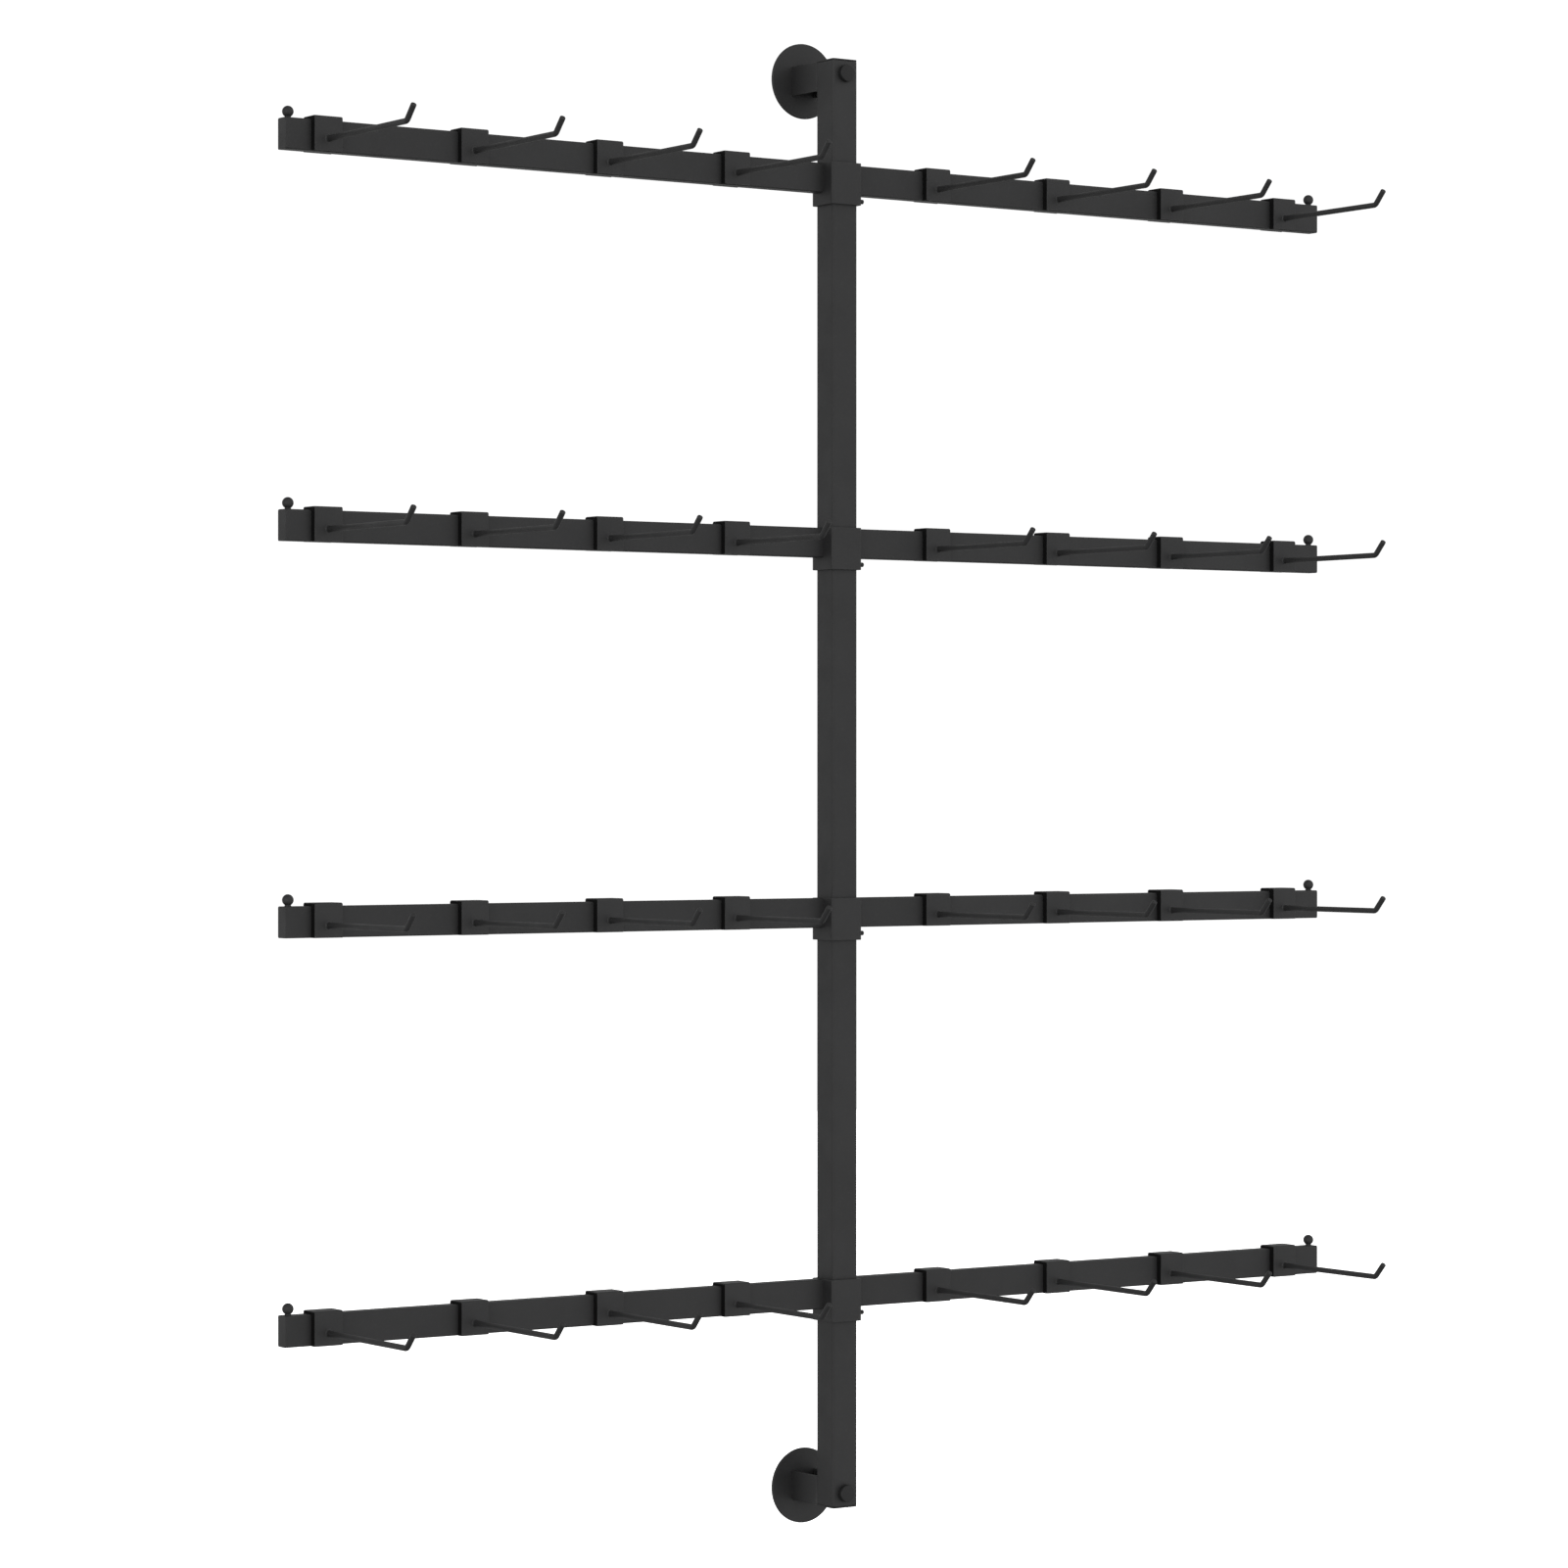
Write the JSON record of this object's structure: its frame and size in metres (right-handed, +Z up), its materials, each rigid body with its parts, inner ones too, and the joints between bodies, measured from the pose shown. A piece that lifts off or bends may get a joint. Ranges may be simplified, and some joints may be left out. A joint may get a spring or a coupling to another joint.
{
  "type": "wall-mounted clothing rack",
  "caption": "Wall-mounted rack: a square post on round wall flanges carries height-adjustable horizontal rails, each with sliding clip-on wire hooks ending in upturned tips.",
  "frame": {"origin": "centre of the lower wall flange's back face, where it meets the wall", "axes": "+X along the arms, to the right for someone facing the wall; +Y into the wall; +Z up along the post"},
  "size_m": [1.267, 0.2349, 1.5146],
  "materials": {
    "black_powder_coat": "matte black powder coat with a very fine grain",
    "black_plastic": "matte moulded black plastic",
    "blackened_steel": "black oxide steel, low sheen"
  },
  "bodies": {
    "rack": {"post": "black_powder_coat", "post_top_cap": "black_plastic", "post_bottom_cap": "black_plastic", "lower_wall_flange": "black_powder_coat", "upper_wall_flange": "black_powder_coat", "lower_standoff": "black_powder_coat", "upper_standoff": "black_powder_coat", "lower_bolt": "blackened_steel", "upper_bolt": "blackened_steel", "lower_bolt_nut": "blackened_steel", "upper_bolt_nut": "blackened_steel"},
    "arm_1": {"arm_1_frame": "black_powder_coat", "arm_1_left_stop_pin": "black_powder_coat", "arm_1_right_stop_pin": "black_powder_coat"},
    "set_screw_1": {"arm_1_set_screw": "blackened_steel"},
    "hook_1_1": {"arm_1_hook_1": "black_powder_coat"},
    "hook_1_2": {"arm_1_hook_2": "black_powder_coat"},
    "hook_1_3": {"arm_1_hook_3": "black_powder_coat"},
    "hook_1_4": {"arm_1_hook_4": "black_powder_coat"},
    "hook_1_5": {"arm_1_hook_5": "black_powder_coat"},
    "hook_1_6": {"arm_1_hook_6": "black_powder_coat"},
    "hook_1_7": {"arm_1_hook_7": "black_powder_coat"},
    "hook_1_8": {"arm_1_hook_8": "black_powder_coat"},
    "arm_2": {"arm_2_frame": "black_powder_coat", "arm_2_left_stop_pin": "black_powder_coat", "arm_2_right_stop_pin": "black_powder_coat"},
    "set_screw_2": {"arm_2_set_screw": "blackened_steel"},
    "hook_2_1": {"arm_2_hook_1": "black_powder_coat"},
    "hook_2_2": {"arm_2_hook_2": "black_powder_coat"},
    "hook_2_3": {"arm_2_hook_3": "black_powder_coat"},
    "hook_2_4": {"arm_2_hook_4": "black_powder_coat"},
    "hook_2_5": {"arm_2_hook_5": "black_powder_coat"},
    "hook_2_6": {"arm_2_hook_6": "black_powder_coat"},
    "hook_2_7": {"arm_2_hook_7": "black_powder_coat"},
    "hook_2_8": {"arm_2_hook_8": "black_powder_coat"},
    "arm_3": {"arm_3_frame": "black_powder_coat", "arm_3_left_stop_pin": "black_powder_coat", "arm_3_right_stop_pin": "black_powder_coat"},
    "set_screw_3": {"arm_3_set_screw": "blackened_steel"},
    "hook_3_1": {"arm_3_hook_1": "black_powder_coat"},
    "hook_3_2": {"arm_3_hook_2": "black_powder_coat"},
    "hook_3_3": {"arm_3_hook_3": "black_powder_coat"},
    "hook_3_4": {"arm_3_hook_4": "black_powder_coat"},
    "hook_3_5": {"arm_3_hook_5": "black_powder_coat"},
    "hook_3_6": {"arm_3_hook_6": "black_powder_coat"},
    "hook_3_7": {"arm_3_hook_7": "black_powder_coat"},
    "hook_3_8": {"arm_3_hook_8": "black_powder_coat"},
    "arm_4": {"arm_4_frame": "black_powder_coat", "arm_4_left_stop_pin": "black_powder_coat", "arm_4_right_stop_pin": "black_powder_coat"},
    "set_screw_4": {"arm_4_set_screw": "blackened_steel"},
    "hook_4_1": {"arm_4_hook_1": "black_powder_coat"},
    "hook_4_2": {"arm_4_hook_2": "black_powder_coat"},
    "hook_4_3": {"arm_4_hook_3": "black_powder_coat"},
    "hook_4_4": {"arm_4_hook_4": "black_powder_coat"},
    "hook_4_5": {"arm_4_hook_5": "black_powder_coat"},
    "hook_4_6": {"arm_4_hook_6": "black_powder_coat"},
    "hook_4_7": {"arm_4_hook_7": "black_powder_coat"},
    "hook_4_8": {"arm_4_hook_8": "black_powder_coat"}
  },
  "joints": [
    {"name": "arm_1_height", "type": "slide", "parent": "rack", "child": "arm_1", "axis": [0, 0, 1], "range_m": [-0.15, 0.15]},
    {"name": "set_screw_1_turn", "type": "hinge", "parent": "arm_1", "child": "set_screw_1", "pos_m": [0.0185, -0.0623, 0.1807], "axis": [1, 0, 0], "range_deg": [0, 360]},
    {"name": "hook_1_1_slide", "type": "slide", "parent": "arm_1", "child": "hook_1_1", "axis": [1, 0, 0], "range_m": [-0.0146, 0.064]},
    {"name": "hook_1_2_slide", "type": "slide", "parent": "arm_1", "child": "hook_1_2", "axis": [1, 0, 0], "range_m": [-0.064, 0.0606]},
    {"name": "hook_1_3_slide", "type": "slide", "parent": "arm_1", "child": "hook_1_3", "axis": [1, 0, 0], "range_m": [-0.0606, 0.0587]},
    {"name": "hook_1_4_slide", "type": "slide", "parent": "arm_1", "child": "hook_1_4", "axis": [1, 0, 0], "range_m": [-0.0587, 0.0921]},
    {"name": "hook_1_5_slide", "type": "slide", "parent": "arm_1", "child": "hook_1_5", "axis": [1, 0, 0], "range_m": [-0.0862, 0.061]},
    {"name": "hook_1_6_slide", "type": "slide", "parent": "arm_1", "child": "hook_1_6", "axis": [1, 0, 0], "range_m": [-0.061, 0.0595]},
    {"name": "hook_1_7_slide", "type": "slide", "parent": "arm_1", "child": "hook_1_7", "axis": [1, 0, 0], "range_m": [-0.0595, 0.0612]},
    {"name": "hook_1_8_slide", "type": "slide", "parent": "arm_1", "child": "hook_1_8", "axis": [1, 0, 0], "range_m": [-0.0612, 0.0234]},
    {"name": "arm_2_height", "type": "slide", "parent": "rack", "child": "arm_2", "axis": [0, 0, 1], "range_m": [-0.15, 0.15]},
    {"name": "set_screw_2_turn", "type": "hinge", "parent": "arm_2", "child": "set_screw_2", "pos_m": [0.0185, -0.0623, 0.5665], "axis": [1, 0, 0], "range_deg": [0, 360]},
    {"name": "hook_2_1_slide", "type": "slide", "parent": "arm_2", "child": "hook_2_1", "axis": [1, 0, 0], "range_m": [-0.0146, 0.064]},
    {"name": "hook_2_2_slide", "type": "slide", "parent": "arm_2", "child": "hook_2_2", "axis": [1, 0, 0], "range_m": [-0.064, 0.0606]},
    {"name": "hook_2_3_slide", "type": "slide", "parent": "arm_2", "child": "hook_2_3", "axis": [1, 0, 0], "range_m": [-0.0606, 0.0587]},
    {"name": "hook_2_4_slide", "type": "slide", "parent": "arm_2", "child": "hook_2_4", "axis": [1, 0, 0], "range_m": [-0.0587, 0.0921]},
    {"name": "hook_2_5_slide", "type": "slide", "parent": "arm_2", "child": "hook_2_5", "axis": [1, 0, 0], "range_m": [-0.0862, 0.061]},
    {"name": "hook_2_6_slide", "type": "slide", "parent": "arm_2", "child": "hook_2_6", "axis": [1, 0, 0], "range_m": [-0.061, 0.0595]},
    {"name": "hook_2_7_slide", "type": "slide", "parent": "arm_2", "child": "hook_2_7", "axis": [1, 0, 0], "range_m": [-0.0595, 0.0612]},
    {"name": "hook_2_8_slide", "type": "slide", "parent": "arm_2", "child": "hook_2_8", "axis": [1, 0, 0], "range_m": [-0.0612, 0.0234]},
    {"name": "arm_3_height", "type": "slide", "parent": "rack", "child": "arm_3", "axis": [0, 0, 1], "range_m": [-0.15, 0.15]},
    {"name": "set_screw_3_turn", "type": "hinge", "parent": "arm_3", "child": "set_screw_3", "pos_m": [0.0185, -0.0623, 0.9413], "axis": [1, 0, 0], "range_deg": [0, 360]},
    {"name": "hook_3_1_slide", "type": "slide", "parent": "arm_3", "child": "hook_3_1", "axis": [1, 0, 0], "range_m": [-0.0146, 0.064]},
    {"name": "hook_3_2_slide", "type": "slide", "parent": "arm_3", "child": "hook_3_2", "axis": [1, 0, 0], "range_m": [-0.064, 0.0606]},
    {"name": "hook_3_3_slide", "type": "slide", "parent": "arm_3", "child": "hook_3_3", "axis": [1, 0, 0], "range_m": [-0.0606, 0.0587]},
    {"name": "hook_3_4_slide", "type": "slide", "parent": "arm_3", "child": "hook_3_4", "axis": [1, 0, 0], "range_m": [-0.0587, 0.0921]},
    {"name": "hook_3_5_slide", "type": "slide", "parent": "arm_3", "child": "hook_3_5", "axis": [1, 0, 0], "range_m": [-0.0862, 0.061]},
    {"name": "hook_3_6_slide", "type": "slide", "parent": "arm_3", "child": "hook_3_6", "axis": [1, 0, 0], "range_m": [-0.061, 0.0595]},
    {"name": "hook_3_7_slide", "type": "slide", "parent": "arm_3", "child": "hook_3_7", "axis": [1, 0, 0], "range_m": [-0.0595, 0.0612]},
    {"name": "hook_3_8_slide", "type": "slide", "parent": "arm_3", "child": "hook_3_8", "axis": [1, 0, 0], "range_m": [-0.0612, 0.0234]},
    {"name": "arm_4_height", "type": "slide", "parent": "rack", "child": "arm_4", "axis": [0, 0, 1], "range_m": [-0.15, 0.07]},
    {"name": "set_screw_4_turn", "type": "hinge", "parent": "arm_4", "child": "set_screw_4", "pos_m": [0.0185, -0.0623, 1.3106], "axis": [1, 0, 0], "range_deg": [0, 360]},
    {"name": "hook_4_1_slide", "type": "slide", "parent": "arm_4", "child": "hook_4_1", "axis": [1, 0, 0], "range_m": [-0.0146, 0.064]},
    {"name": "hook_4_2_slide", "type": "slide", "parent": "arm_4", "child": "hook_4_2", "axis": [1, 0, 0], "range_m": [-0.064, 0.0606]},
    {"name": "hook_4_3_slide", "type": "slide", "parent": "arm_4", "child": "hook_4_3", "axis": [1, 0, 0], "range_m": [-0.0606, 0.0587]},
    {"name": "hook_4_4_slide", "type": "slide", "parent": "arm_4", "child": "hook_4_4", "axis": [1, 0, 0], "range_m": [-0.0587, 0.0921]},
    {"name": "hook_4_5_slide", "type": "slide", "parent": "arm_4", "child": "hook_4_5", "axis": [1, 0, 0], "range_m": [-0.0862, 0.061]},
    {"name": "hook_4_6_slide", "type": "slide", "parent": "arm_4", "child": "hook_4_6", "axis": [1, 0, 0], "range_m": [-0.061, 0.0595]},
    {"name": "hook_4_7_slide", "type": "slide", "parent": "arm_4", "child": "hook_4_7", "axis": [1, 0, 0], "range_m": [-0.0595, 0.0612]},
    {"name": "hook_4_8_slide", "type": "slide", "parent": "arm_4", "child": "hook_4_8", "axis": [1, 0, 0], "range_m": [-0.0612, 0.0234]}
  ]
}
